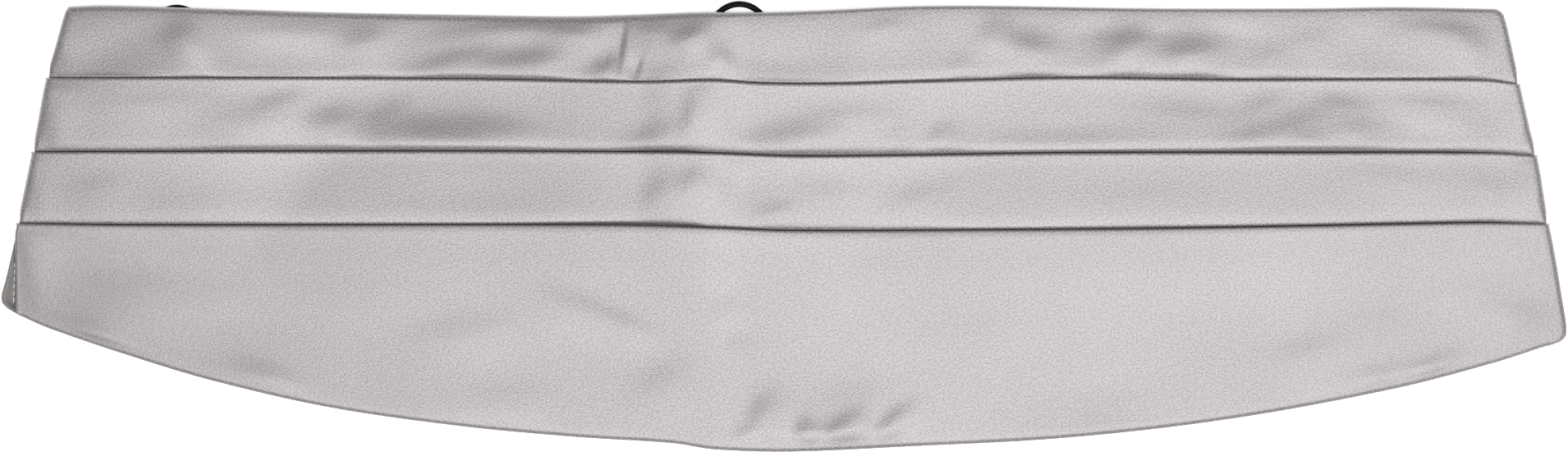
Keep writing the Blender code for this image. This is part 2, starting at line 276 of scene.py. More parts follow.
FOLD_THREE = [
    Mark(-263.0, 0.9), Mark(-224.0, 0.3), Mark(-60.0, 0.3), Mark(-23.8, -0.6),
    Mark(2.0, -1.6), Mark(69.2, -1.4), Mark(125.6, -0.9), Mark(182.0, 0.0),
    Mark(238.0, 1.1), Mark(262.4, 0.8),
]
print("reveal of the second band", round(FOLD_ONE[0].y - FOLD_TWO[0].y, 1), "mm")

# %% Bottom edge and side seams
Side = namedtuple("Side", "y x")

BOTTOM_EDGE = [
    Mark(-262.1, -30.7), Mark(-252.3, -35.0), Mark(-224.0, -44.6), Mark(-195.9, -53.0),
    Mark(-156.4, -62.0), Mark(-111.2, -68.5), Mark(-71.8, -72.2), Mark(-37.9, -74.4),
    Mark(-23.8, -76.5), Mark(1.6, -77.3), Mark(41.0, -75.6), Mark(97.4, -72.5),
    Mark(153.8, -66.0), Mark(210.2, -55.6), Mark(244.1, -46.8), Mark(262.4, -40.9),
]
LEFT_END = [
    Side(-31.0, -261.6), Side(-28.2, -266.9), Side(-25.4, -268.9), Side(-18.3, -267.3),
    Side(-7.1, -264.7), Side(4.2, -262.4), Side(21.2, -258.8), Side(32.4, -256.5),
    Side(49.4, -253.1), Side(63.5, -249.1), Side(73.0, -246.4), Side(74.9, -245.3),
]
RIGHT_END = [
    Side(-40.9, 263.0), Side(-39.3, 267.2), Side(-36.7, 268.9), Side(-24.0, 267.2),
    Side(-7.1, 264.4), Side(4.2, 262.1), Side(21.2, 259.3), Side(32.4, 256.5),
    Side(49.4, 252.5), Side(63.5, 249.4), Side(72.5, 247.0), Side(74.2, 245.0),
]

LINES = (TOP_EDGE, FOLD_ONE, FOLD_TWO, FOLD_THREE, BOTTOM_EDGE)
line_at = [smooth_line(table) for table in LINES]
left_end_at = smooth_line(LEFT_END)
right_end_at = smooth_line(RIGHT_END)
print("band depth at the middle", round(line_at[0](0) - line_at[-1](0), 1), "mm")

# %% [markdown]
# ## What lies beneath lifts the panel
#
# The elastic and its hardware lie on the table under the top band, so the panel climbs over them
# in a low hump. Each row of the table gives a place along the band, the hump's height there, and
# how far it reaches to either side of the strap's middle. A soft ridge also crosses the middle,
# where the band was once folded in half. A cloth simulation could drape it, but would move the
# outline. One height function serves the front and the back instead, so they never meet.

# %% Where the elastic runs, and how high the panel climbs over it
Hump = namedtuple("Hump", "x height reach")

STRAP_LINE = [
    Mark(-248.0, 60.6), Mark(-208.5, 66.0), Mark(-156.4, 62.9), Mark(-71.8, 62.3),
    Mark(-40.0, 65.4), Mark(-20.0, 65.6), Mark(3.0, 64.3), Mark(40.0, 64.0), Mark(125.6, 63.2),
    Mark(248.0, 60.6),
]
HUMPS = [
    Hump(-266.0, 2.4, 9.5), Hump(-228.0, 4.0, 11.2), Hump(-190.0, 4.0, 11.2),
    Hump(-145.0, 1.5, 8.5), Hump(-95.0, 1.5, 8.5), Hump(-50.0, 3.6, 10.0),
    Hump(-38.0, 4.1, 11.2), Hump(20.0, 4.1, 11.2), Hump(34.0, 3.5, 10.0),
    Hump(80.0, 1.5, 8.5), Hump(260.0, 1.5, 8.5),
]

strap_middle_at = smooth_line(STRAP_LINE)
hump_height_at = smooth_line([(hump.x, hump.height) for hump in HUMPS])
hump_reach_at = smooth_line([(hump.x, hump.reach) for hump in HUMPS])
print("highest hump", max(hump.height for hump in HUMPS), "mm")

# %% Height of the panel over the elastic and at the old fold
FLANK_RUN = 18.0
FALL_START = 0.1
RIDGE_X = -25.2
RIDGE_HEIGHT = 0.7
RIDGE_LEFT = 26.0
RIDGE_RIGHT = 14.0
RIDGE_LOW_SHARE = 0.45
RIDGE_GROWS_FROM = -25.0
RIDGE_GROWS_OVER = 40.0


def fall(t):
    """From 0 to 1, steepest near the start and running out softly."""
    t = min(max(t, 0.0), 1.0)
    if t < FALL_START:
        return t * t / FALL_START
    return 1 - (1 - t) ** 2 / (1 - FALL_START)


def lift(x, y):
    """How far the panel is held above the table. At the right it stays level up to its top edge."""
    height = hump_height_at(x)
    beyond = abs(y - strap_middle_at(x)) - hump_reach_at(x)
    if x > RIDGE_X and y > strap_middle_at(x):
        beyond = 0.0
    over_strap = height * (1 - fall(beyond / (FLANK_RUN * height)))
    reach = RIDGE_LEFT if x < RIDGE_X else RIDGE_RIGHT
    grown = ease((y - RIDGE_GROWS_FROM) / RIDGE_GROWS_OVER)
    grown = RIDGE_LOW_SHARE + (1 - RIDGE_LOW_SHARE) * grown
    ridge = RIDGE_HEIGHT * (1 - ease(abs(x - RIDGE_X) / reach)) * grown
    return over_strap + ridge


RING_AT = (-15.2, 66.3)
print("lift at the middle of the ring", round(lift(*RING_AT), 1), "mm")

# %% Room that the layers need on a slope
SLOPE_SPAN_X = 8.0
SLOPE_SPAN_Y = 4.0


def steepness(x, y, span_x, span_y):
    """Steeper of the two slopes from a place to its neighbours on either side."""
    here = lift(x, y)
    climbs = [abs(lift(x + way * span_x, y + way * span_y) - here) for way in (-1, 1)]
    return max(climbs) / (span_x + span_y)


def slope_room(x, y):
    """Extra height that parallel layers need on the flank of a hump."""
    along = steepness(x, y, SLOPE_SPAN_X, 0.0)
    across = steepness(x, y, 0.0, SLOPE_SPAN_Y)
    return math.sqrt(1 + along**2 + across**2)


print("extra height at the ring's flank", round(slope_room(0.0, 52.0) - 1, 3))

# %% [markdown]
# ## Soft creases
#
# Satin shows every hollow as a darker or a lighter cloud. Cloth simulation would put them where it
# likes, so each is listed one by one instead, as a soft mound or hollow. A fold is written by the
# middle of its shaded side, by how far it reaches along and across, by its turn in degrees and by
# its rise. The cloth there leans to the top of the picture when it rises, and to the bottom when
# it sinks. Its other side runs out more gently, skirt times as far. Each fold belongs to one band,
# as the bands are separate layers.

# %% Folds of the top band
Fold = namedtuple("Fold", "x y along across turn rise skirt")

TOP_FOLDS = [
    Fold(-209.0, 66.5, 5.5, 4.8, 30.0, 0.50, 1.8), Fold(-199.0, 62.0, 9.0, 4.0, -66.0, 0.60, 2.0),
    Fold(-228.0, 66.0, 9.0, 6.0, 20.0, -0.16, 2.0), Fold(-172.0, 63.0, 14.0, 6.0, -8.0, -0.30, 1.6),
    Fold(-145.0, 65.0, 8.0, 4.8, 14.0, 0.58, 2.2), Fold(-112.0, 66.0, 12.0, 4.6, 4.0, 0.34, 2.0),
    Fold(-115.0, 57.5, 13.0, 3.8, 16.0, 0.50, 1.8), Fold(-97.0, 57.6, 14.0, 5.6, 2.0, 1.05, 1.6),
    Fold(-83.0, 58.8, 9.0, 5.0, 4.0, 0.65, 2.0), Fold(-94.0, 68.8, 14.0, 3.4, 2.0, 0.42, 1.8),
    Fold(-238.0, 62.0, 16.0, 9.0, 0.0, -0.40, 1.8), Fold(-165.0, 68.0, 22.0, 4.6, 0.0, 0.40, 2.0),
    Fold(249.0, 61.0, 9.0, 2.6, -100.0, 0.30, 3.0), Fold(-249.0, 62.0, 10.0, 2.6, 100.0, 0.40, 3.0),
    Fold(-62.0, 55.0, 5.0, 3.2, 30.0, 0.50, 2.0), Fold(-73.0, 67.5, 10.0, 4.0, -4.0, 0.58, 2.0),
    Fold(-44.0, 68.0, 8.0, 4.0, -4.0, 0.45, 2.2), Fold(-33.0, 66.5, 7.0, 4.4, 26.0, 0.95, 2.0),
    Fold(-19.5, 58.0, 4.6, 3.2, -58.0, 0.58, 2.0), Fold(-46.0, 57.0, 7.0, 4.0, 10.0, -0.25, 1.8),
    Fold(-2.0, 60.0, 18.0, 7.0, 0.0, -0.30, 1.6), Fold(34.0, 69.5, 9.0, 3.4, 8.0, 0.25, 2.0),
    Fold(59.0, 56.0, 5.0, 3.4, 40.0, 0.28, 2.0), Fold(70.0, 66.5, 6.5, 5.0, 58.0, 0.60, 2.0),
    Fold(86.0, 63.0, 9.0, 5.2, -10.0, 0.85, 2.0), Fold(104.0, 68.5, 6.0, 4.6, 30.0, -0.30, 1.6),
    Fold(116.0, 62.0, 7.5, 5.4, 30.0, 0.90, 2.0), Fold(129.0, 67.5, 4.0, 3.0, 10.0, -0.22, 1.8),
    Fold(139.0, 61.5, 10.0, 5.6, 8.0, 1.25, 1.8), Fold(155.0, 68.0, 9.0, 4.0, -10.0, -0.24, 1.8),
    Fold(118.0, 65.5, 14.0, 4.8, 2.0, 0.42, 2.0), Fold(166.0, 59.5, 6.0, 5.0, 30.0, 0.32, 2.0),
    Fold(181.0, 65.0, 8.0, 5.0, 12.0, 0.26, 2.0), Fold(198.0, 64.0, 9.0, 6.0, 0.0, -0.16, 1.8),
    Fold(208.0, 66.5, 6.0, 4.6, 58.0, 0.14, 2.0), Fold(226.0, 68.5, 12.0, 4.2, -4.0, 0.50, 2.2),
    Fold(237.0, 64.0, 8.0, 5.0, -32.0, 0.60, 2.0), Fold(241.0, 56.0, 7.0, 4.6, -50.0, 0.22, 2.0),
]
print(len(TOP_FOLDS), "folds in the top band")

# %% Folds of the second band
SECOND_FOLDS = [
    Fold(-218.0, 44.0, 20.0, 4.0, 2.0, 0.22, 2.0), Fold(-182.0, 39.0, 17.0, 7.5, 0.0, 0.60, 2.0),
    Fold(-172.0, 44.0, 9.0, 4.6, 14.0, 0.45, 2.0), Fold(-156.0, 38.0, 10.0, 6.2, 12.0, 0.76, 1.8),
    Fold(-136.0, 40.0, 8.0, 4.8, 28.0, 0.36, 2.0), Fold(-122.0, 33.6, 22.0, 6.4, -2.0, 0.80, 1.6),
    Fold(-96.0, 35.0, 14.0, 5.4, -6.0, 0.40, 1.8), Fold(-46.0, 32.0, 11.0, 5.0, 18.0, 0.46, 2.0),
    Fold(-33.0, 38.5, 9.0, 3.4, 80.0, 0.50, 3.0), Fold(-16.0, 37.0, 8.0, 8.0, 70.0, -0.30, 1.6),
    Fold(6.0, 33.5, 15.0, 6.6, 4.0, 0.76, 1.8), Fold(26.0, 40.0, 16.0, 5.4, 0.0, 0.40, 2.0),
    Fold(36.0, 31.0, 6.0, 3.6, 48.0, 0.26, 2.0), Fold(52.0, 31.5, 5.5, 3.8, 52.0, 0.48, 2.0),
    Fold(96.0, 36.0, 20.0, 5.0, 0.0, -0.16, 1.6), Fold(139.0, 40.0, 18.0, 4.6, -6.0, 0.26, 2.0),
    Fold(164.0, 42.5, 8.0, 4.8, 26.0, 0.44, 2.0), Fold(178.0, 38.0, 13.0, 6.0, 14.0, 0.52, 2.0),
    Fold(192.0, 43.0, 10.0, 4.4, -8.0, 0.46, 2.0), Fold(195.0, 35.0, 11.0, 5.6, 2.0, 0.58, 2.0),
    Fold(164.0, 32.5, 10.0, 5.0, 8.0, 0.50, 2.0), Fold(182.0, 31.0, 9.0, 4.2, -14.0, 0.32, 2.0),
    Fold(231.0, 38.0, 14.0, 7.0, -8.0, 0.30, 2.0), Fold(256.0, 37.0, 10.0, 2.8, -100.0, 0.42, 3.0),
    Fold(-253.0, 37.0, 11.0, 2.8, 100.0, 0.40, 3.0), Fold(222.0, 43.0, 16.0, 3.6, -2.0, 0.26, 2.0),
    Fold(226.0, 33.0, 10.0, 4.6, -10.0, -0.24, 1.6),
]
print(len(SECOND_FOLDS), "folds in the second band")

# %% Folds of the third band
THIRD_FOLDS = [
    Fold(-200.0, 10.0, 30.0, 6.0, 2.0, 0.16, 2.0), Fold(-236.0, 15.0, 12.0, 5.0, 16.0, 0.20, 2.0),
    Fold(-104.0, 15.0, 24.0, 6.0, 0.0, -0.14, 1.6), Fold(-44.0, 13.0, 9.0, 5.6, 48.0, 0.42, 2.0),
    Fold(-33.0, 16.0, 6.0, 4.6, 62.0, 0.48, 2.4), Fold(-19.0, 15.0, 8.0, 6.0, 66.0, -0.30, 1.6),
    Fold(-2.0, 6.5, 7.0, 3.6, 12.0, 0.30, 2.0), Fold(17.0, 13.5, 18.0, 7.0, 0.0, 0.38, 2.0),
    Fold(44.0, 11.0, 11.0, 5.6, 20.0, 0.32, 2.0), Fold(120.0, 11.0, 26.0, 6.0, 0.0, 0.12, 2.0),
    Fold(211.0, 18.5, 18.0, 5.0, -4.0, 0.20, 2.0), Fold(243.0, 15.0, 9.0, 6.0, -24.0, 0.26, 2.0),
    Fold(261.0, 13.0, 10.0, 2.8, -100.0, 0.42, 3.0),
    Fold(-258.5, 13.0, 11.0, 2.8, 100.0, 0.36, 3.0),
]
print(len(THIRD_FOLDS), "folds in the third band")

# %% Folds of the deep lower band
DEEP_FOLDS = [
    Fold(-236.0, -34.0, 9.0, 4.6, -20.0, 0.42, 2.0),
    Fold(-226.0, -17.0, 16.0, 8.0, -6.0, 0.26, 2.0),
    Fold(-176.0, -49.5, 11.0, 4.6, -18.0, 0.42, 2.0),
    Fold(-197.0, -30.0, 22.0, 9.0, 4.0, -0.22, 1.6), Fold(-150.0, -20.0, 26.0, 9.0, 0.0, 0.22, 2.0),
    Fold(-112.0, -34.0, 18.0, 6.6, 8.0, 0.34, 2.0), Fold(-96.0, -56.0, 18.0, 6.6, -6.0, 0.26, 2.0),
    Fold(-70.0, -26.0, 14.0, 4.6, -22.0, 0.40, 2.0),
    Fold(-52.0, -33.0, 10.0, 3.6, -26.0, 0.30, 2.0),
    Fold(-44.0, -52.0, 11.0, 6.6, 30.0, 0.30, 2.0), Fold(-23.0, -22.0, 5.0, 4.0, 60.0, -0.26, 1.8),
    Fold(-20.0, -35.0, 5.0, 4.0, 70.0, -0.26, 1.8), Fold(-9.0, -63.5, 7.5, 4.6, 58.0, 0.62, 2.0),
    Fold(-15.0, -72.0, 5.0, 2.0, 34.0, 0.40, 2.4), Fold(-2.0, -69.5, 4.0, 2.6, -20.0, 0.26, 2.0),
    Fold(5.5, -70.0, 4.6, 3.0, 66.0, 0.52, 2.0), Fold(11.0, -71.5, 4.4, 2.2, -44.0, 0.40, 2.4),
    Fold(20.5, -67.0, 8.0, 4.2, 30.0, 0.78, 2.2), Fold(15.5, -72.0, 3.4, 2.0, 60.0, 0.30, 2.0),
    Fold(34.5, -68.5, 7.5, 2.4, 50.0, 0.56, 2.2), Fold(41.0, -63.5, 6.0, 3.0, 38.0, 0.28, 2.0),
    Fold(24.0, -57.0, 15.0, 5.6, 12.0, 0.24, 2.0), Fold(64.0, -34.0, 22.0, 9.0, 6.0, 0.20, 2.0),
    Fold(106.0, -52.0, 18.0, 6.6, 8.0, -0.20, 1.6), Fold(181.0, -40.5, 13.0, 6.0, 12.0, 0.34, 2.0),
    Fold(221.0, -46.5, 9.0, 4.2, 22.0, 0.50, 2.0), Fold(203.0, -49.5, 10.0, 4.0, 14.0, 0.34, 2.0),
    Fold(202.0, -31.0, 15.0, 6.4, 6.0, 0.24, 2.0), Fold(236.0, -20.0, 12.0, 6.0, 10.0, 0.24, 2.0),
    Fold(252.0, -28.0, 9.0, 4.6, -12.0, 0.34, 2.0), Fold(154.0, -22.0, 24.0, 9.0, 2.0, -0.18, 1.6),
    Fold(-260.5, -12.0, 15.0, 2.6, 98.0, 0.34, 3.0),
    Fold(-215.0, -20.0, 28.0, 12.0, -4.0, 0.46, 2.0),
]
print(len(DEEP_FOLDS), "folds in the deep lower band")

# %% Pressed creases, and the height that the folds add up to
PRESSED_CREASES = [
    Fold(-55.2, 60.5, 8.5, 1.2, -99.0, -0.50, 7.0), Fold(-49.6, 53.8, 4.2, 1.0, -107.0, -0.35, 5.0),
]
FOLDS = {
    "top": TOP_FOLDS + PRESSED_CREASES, "second": SECOND_FOLDS, "third": THIRD_FOLDS,
    "deep": DEEP_FOLDS,
}
BANDS = ("top", "second", "third", "deep")
CREST = 0.7071
FADED = 3


def relief(band, x, y):
    """Sum of one band's folds at one place."""
    total = 0.0
    for fold in FOLDS[band]:
        east, north = x - fold.x, y - fold.y
        if abs(east) + abs(north) > FADED * (fold.along + fold.across * fold.skirt):
            continue
        turn = math.radians(fold.turn)
        cosine, sine = math.cos(turn), math.sin(turn)
        across = north * cosine - east * sine + CREST * fold.across
        across /= fold.across * (fold.skirt if across < 0 else 1.0)
        along = (east * cosine + north * sine) / fold.along
        total += fold.rise * math.exp(-across * across - along * along)
    return total


print(sum(len(folds) for folds in FOLDS.values()), "soft folds")

# %% [markdown]
# ## Satin
#
# Duchess satin is woven with long floats of smooth yarn on a twill ground. That gives a soft broad
# gloss, a faint slanting line and a fine bright grain. The yarns are about 0.1 mm apart, which is
# too fine to show here, so the slanting line is drawn every 0.75 mm and the grain at 0.7 mm. The
# pattern follows the cloth through its pleats, so it reads a UV map that is laid out in metres.
# A picture of cloth could be tiled instead, but its repeat would show on so long a band.

# %% Pattern of the weave
TWILL_LINE = 0.75
TWILL_TURN = -65.0
TWILL_SHARE = 0.18
GRAIN = 0.7
CLOUD = 45.0
CLOUD_SHARE = 0.15
# A Wave texture at scale 1 has 20 / (2 pi) bands in each unit
WAVE_TURNS = 20.0


def weave(tree):
    """Sockets of the grain, of the yarns with their twill line, and of both over slow clouds."""
    laid_out = add(tree, "ShaderNodeUVMap", uv_map="cloth")
    in_mm = add(tree, "ShaderNodeMapping", {
        "Vector": laid_out.outputs["UV"], "Scale": (1000.0, 1000.0, 1.0),
    })
    slanted = add(tree, "ShaderNodeMapping", {
        "Vector": in_mm.outputs["Vector"], "Rotation": (0.0, 0.0, math.radians(TWILL_TURN)),
    })
    twill = add(tree, "ShaderNodeTexWave", {
        "Vector": slanted.outputs["Vector"], "Scale": 2 * math.pi / (WAVE_TURNS * TWILL_LINE),
        "Distortion": 1.2, "Detail": 2.0, "Detail Scale": 1.4,
    })
    grain = add(tree, "ShaderNodeTexNoise", {
        "Vector": in_mm.outputs["Vector"], "Scale": 1 / GRAIN, "Detail": 2.0, "Roughness": 0.6,
    })
    cloud = add(tree, "ShaderNodeTexNoise", {
        "Vector": in_mm.outputs["Vector"], "Scale": 1 / CLOUD, "Detail": 2.0,
    })
    yarn = add(tree, "ShaderNodeMath", {
        0: twill.outputs["Fac"], 1: TWILL_SHARE, 2: grain.outputs["Fac"],
    }, operation="MULTIPLY_ADD")
    tone = add(tree, "ShaderNodeMath", {
        0: cloud.outputs["Fac"], 1: CLOUD_SHARE, 2: yarn.outputs[0],
    }, operation="MULTIPLY_ADD")
    return grain.outputs["Fac"], yarn.outputs[0], tone.outputs[0]


print("a twill line every", TWILL_LINE, "mm, grain of", GRAIN, "mm")

# %% Finish of the satin
GLOSS_SPREAD = 0.08


def satin(name, dark, light, roughness, relief_mm):
    """Woven satin: colour and gloss follow the yarns, which also stand up a little."""
    finish, tree = new_finish(name)
    grain, yarn, tone = weave(tree)
    spread = add(tree, "ShaderNodeMapRange", {
        "Value": tone, "From Min": 0.47, "From Max": 0.88,
    })
    colour = add(tree, "ShaderNodeMix", {
        "Factor": spread.outputs["Result"], 6: linear(dark), 7: linear(light),
    }, data_type="RGBA")
    gloss = add(tree, "ShaderNodeMapRange", {
        "Value": grain, "To Min": roughness + GLOSS_SPREAD, "To Max": roughness - GLOSS_SPREAD,
    })
    raised = add(tree, "ShaderNodeBump", {
        "Height": yarn, "Strength": 0.5, "Distance": relief_mm * MM,
    })
    shader = add(tree, "ShaderNodeBsdfPrincipled", {
        "Base Color": colour.outputs[2], "Roughness": gloss.outputs["Result"],
        "Normal": raised.outputs["Normal"], "IOR": 1.6, "Specular IOR Level": 0.62,
    })
    add(tree, "ShaderNodeOutputMaterial", {"Surface": shader.outputs["BSDF"]})
    return finish


front_satin = satin("duchess_satin_silver", "#544F50", "#817B7C", 0.35, 0.13)
back_satin = satin("lining_satin_grey", "#3A3735", "#55514E", 0.55, 0.06)
print("finishes:", front_satin.name, back_satin.name)

# %% [markdown]
# ## The section of the front
#
# The front is one sheet. Seen from its end it runs down the top band, dives under the first fold,
# turns back on itself, climbs to the fold, rolls over it, and runs on as the next band. It could
# be folded by hand in edit mode, but a list of rows down that section keeps every pleat exact.
# A band stays nearly level and drops only in its last few millimetres, which makes the thin dark
# line under each fold. On its way down the second band climbs a little and the others sink a
# little, and that tilt sets how bright each one is.

# %% Heights of the layers, and of each band on its way down
SHELL = 0.6
PITCH = 1.3
LOW = 1.8
MIDDLE = LOW + PITCH
HIGH = MIDDLE + PITCH
SEAM_HEIGHT = 1.35

# Each row: share of the way down the band, and its height there
SECOND_BAND_FALL = smooth_line([
    (0.0, 4.40), (0.04, 4.37), (0.12, 4.38), (0.3, 4.47), (0.6, 4.62), (0.8, 4.72), (0.86, 4.73),
    (0.9, 4.69), (0.94, 4.57), (0.966, 4.42), (0.98, 4.0), (0.989, 3.1), (1.0, 1.85),
])
THIRD_BAND_FALL = smooth_line([
    (0.0, 4.40), (0.04, 4.36), (0.12, 4.26), (0.3, 4.17), (0.6, 4.10), (0.8, 4.04), (0.88, 3.97),
    (0.93, 3.88), (0.966, 3.77), (0.98, 3.55), (0.989, 2.8), (1.0, 1.85),
])
TOP_BAND_RISE = smooth_line([
    (0.0, 4.0), (0.08, 4.02), (0.2, 3.94), (0.4, 3.76), (0.6, 3.6), (0.8, 3.48), (0.9, 3.43),
    (0.96, 3.38), (0.98, 3.3), (0.988, 3.0), (0.994, 2.5), (1.0, 1.9),
])
LOWER_BAND_FALL = smooth_line([
    (0.0, 4.40), (0.02, 4.34), (0.08, 4.16), (0.2, 3.86), (0.4, 3.24), (0.6, 2.75), (0.8, 2.5),
    (1.0, 2.35),
])
print("fold stands", round(HIGH + SHELL / 2, 2), "mm above the back")

# %% [markdown]
# ## Rows of the front
#
# A row is a line along the whole band. It lies at a share of the way from one drawn line to the
# next, or a shift away from a line, at a height above the back, and the hidden layers are set in
# from the ends. Rows crowd where the cloth bends sharply and are sparse where it lies flat.

# %% How closely the rows lie down a band
Row = namedtuple("Row", "line share shift next_shift height inset")
PLEATS = 3


def spread_rows(count):
    """Shares from 0 to 1, evenly spaced and without the ends."""
    return [(index + 1) / (count + 1) for index in range(count)]


BAND_SHARES = [0.02, 0.04] + [0.04 + 0.91 * share for share in spread_rows(20)]
BAND_SHARES += [0.95, 0.96, 0.969, 0.977, 0.984, 0.99, 0.995]
print(len(BAND_SHARES), "rows down each pleated band")

# %% Rows over a turned edge
TOP_ROLL = 2.2
BOTTOM_ROLL = 1.4
EDGE_SHARES = (0.0, 0.06, 0.2, 0.42, 0.7, 1.0)


def rolled_edge(line, inward, reach, height):
    """Rows from a seam up to its band. inward is -1 at the top edge and 1 at the bottom edge."""
    rows = []
    for share in EDGE_SHARES:
        rise = SEAM_HEIGHT + (height - SEAM_HEIGHT) * quarter_round(share)
        rows.append(Row(line, 0.0, inward * reach * share, 0.0, rise, 0.0))
    return rows


top_edge_rows = rolled_edge(0, -1, TOP_ROLL, TOP_BAND_RISE(0.0))
bottom_edge_rows = rolled_edge(PLEATS + 1, 1, BOTTOM_ROLL, LOWER_BAND_FALL(1.0))[::-1]
print(len(top_edge_rows), "rows over the top edge")

# %% Rows of a pleat
UNDERLAY = 10.0
LAYER_INSET = 4.5
TUCK = 0.3
BAND_END = 1.82
TURN = PITCH / 2
TURN_STEP = 30
FOLD_REACH = 0.5
FOLD_CENTRE = -SHELL / 2 - FOLD_REACH
FULL_WIDTH_FROM = 20


def pleat_rows(line):
    """Rows under a fold, round the hidden turn, back up to the fold and over it."""
    rows = [
        Row(line - 1, 1.0, 0.0, TUCK, BAND_END, 0.0),
        Row(line, 0.0, -0.8, 0.0, LOW, LAYER_INSET * 0.6),
    ]
    rows += [Row(line, 0.0, shift, 0.0, LOW, LAYER_INSET) for shift in (-2.2, -6.0)]
    for degrees in range(-90, -271, -TURN_STEP):
        angle = math.radians(degrees)
        rows.append(Row(
            line, 0.0, TURN * math.cos(angle) - UNDERLAY, 0.0,
            (LOW + MIDDLE) / 2 + TURN * math.sin(angle), LAYER_INSET,
        ))
    rows += [Row(line, 0.0, shift, 0.0, MIDDLE, LAYER_INSET) for shift in (-6.0, -3.0)]
    for degrees in range(-90, 91, TURN_STEP // 2):
        angle = math.radians(degrees)
        widened = ease((FULL_WIDTH_FROM - degrees) / (FULL_WIDTH_FROM + 90))
        rows.append(Row(
            line, 0.0, FOLD_CENTRE + FOLD_REACH * math.cos(angle), 0.0,
            (MIDDLE + HIGH) / 2 + TURN * math.sin(angle), LAYER_INSET * widened,
        ))
    return rows


print(len(pleat_rows(1)), "rows in each pleat")

# %% All rows, from the top edge to the bottom edge
DEEP_ROWS = 34


def band_rows(line, shares, first_shift, last_shift, height_at):
    """Rows down the part of a band that shows."""
    return [Row(line, share, first_shift, last_shift, height_at(share), 0.0) for share in shares]


FRONT_ROWS = top_edge_rows + band_rows(0, BAND_SHARES, -TOP_ROLL, TUCK, TOP_BAND_RISE)
for line, height_at in ((1, SECOND_BAND_FALL), (2, THIRD_BAND_FALL)):
    FRONT_ROWS += pleat_rows(line) + band_rows(line, BAND_SHARES, FOLD_CENTRE, TUCK, height_at)
FRONT_ROWS += pleat_rows(PLEATS)
FRONT_ROWS += band_rows(PLEATS, spread_rows(DEEP_ROWS), FOLD_CENTRE, BOTTOM_ROLL, LOWER_BAND_FALL)
FRONT_ROWS += bottom_edge_rows
print(len(FRONT_ROWS), "rows down the front")

# %% [markdown]
# ## Stations along the band
#
# Across the rows run stations, from the left side seam to the right one. They crowd together at
# the two ends, where the cloth rolls down to its seam, and at the pressed creases.

# %% Stations
Station = namedtuple("Station", "share offset")
END_STATIONS = (0.0, 0.07, 0.24, 0.5, 0.85, 1.25, 1.8)
END_MARGIN = 3.4


def even_run(start, end, step):
    """Places from start towards end, without the end."""
    count = max(round(abs(end - start) / step), 1)
    return [start + (end - start) * index / count for index in range(count)]


def stations(spans):
    """Places along the band: a few close to each end, and between them as the spans say."""
    first, last = spans[0][0], spans[-1][1]
    places = [place for start, end, step in spans for place in even_run(start, end, step)]
    middle = []
    for place in (*places, last):
        share = (place - first) / (last - first)
        middle.append(Station(share, END_MARGIN * (1 - 2 * share)))
    left = [Station(0.0, offset) for offset in END_STATIONS]
    right = [Station(1.0, -offset) for offset in reversed(END_STATIONS)]
    return left + middle + right


FRONT_SPANS = [(-265.0, -66.0, 2.9), (-66.0, -45.0, 0.8), (-45.0, 55.0, 2.0), (55.0, 265.0, 2.9)]
FRONT_STATIONS = stations(FRONT_SPANS)
print(len(FRONT_STATIONS), "stations along the front")

# %% [markdown]
# ## Where a row lies
#
# Hand-pressed pleats are never quite straight. A little left of the middle the folds gape, and at
# the right end they close. The top edge is rolled more softly at the left. At the lower left the
# front stops short, and the back shows beside it as a narrow facing.

# %% Gape of each fold, softness of the top edge, and the facing
FACING_TOP = 0.9
FRONT_LOWER_LEFT = -263.8
GAPE_FROM = 0.7
FOLD_GAPS = [
    smooth_line([(-265.0, -0.35), (-235.0, -0.2), (225.0, -0.2), (245.0, -0.45), (265.0, -0.6)]),
    smooth_line([
        (-265.0, -0.3), (-235.0, -0.1), (-60.0, -0.1), (-36.0, 0.35), (-26.0, -0.1), (225.0, -0.05),
        (248.0, -0.4), (265.0, -0.55),
    ]),
    smooth_line([
        (-265.0, -0.3), (-235.0, -0.1), (-95.0, -0.05), (-70.0, 0.25), (-45.0, 0.5), (-31.0, 0.35),
        (-26.0, -0.1), (238.0, -0.05), (256.0, -0.4), (266.0, -0.55),
    ]),
]
TOP_SOFTNESS = smooth_line([
    (-260.0, 0.6), (-200.0, 0.7), (-120.0, 0.8), (-50.0, 1.0), (-5.0, 0.4), (260.0, 0.4),
])
print("widest gape of the lowest fold", FOLD_GAPS[2](-45.0), "mm")


# %% Where a row runs, and where it meets the side seams
def row_y(row, x):
    """How far up the picture one row lies at one place."""
    start = line_at[row.line](x) + row.shift * (1.0 if row.line else TOP_SOFTNESS(x))
    if not row.share:
        return start
    end = line_at[row.line + 1](x) + row.next_shift
    if row.line < PLEATS:
        end += FOLD_GAPS[row.line](x) * ease((row.share - GAPE_FROM) / 0.3)
    return start + (end - start) * row.share


def row_ends(row, keeps_facing):
    """Where one row meets the two side seams. Each end and its height are found in turn."""
    left, right = -255.0, 255.0
    for _ in range(3):
        left = left_end_at(row_y(row, left))
        right = right_end_at(row_y(row, right))
    if not keeps_facing and row_y(row, left) < FACING_TOP:
        left = max(left, FRONT_LOWER_LEFT)
    return left, right


front_ends = [row_ends(row, False) for row in FRONT_ROWS]
print("front is", round(max(right - left for left, right in front_ends), 1), "mm long")

# %% [markdown]
# ## From rows and stations to a sheet
#
# A sheet could be a plane with many loop cuts. Here a bmesh grid gives the faces, and each of its
# vertices is moved to its row and its station. A UV map keeps where each point lies on the flat
# cloth, in metres, so that the weave follows the pleats. The wall is added by a modifier.

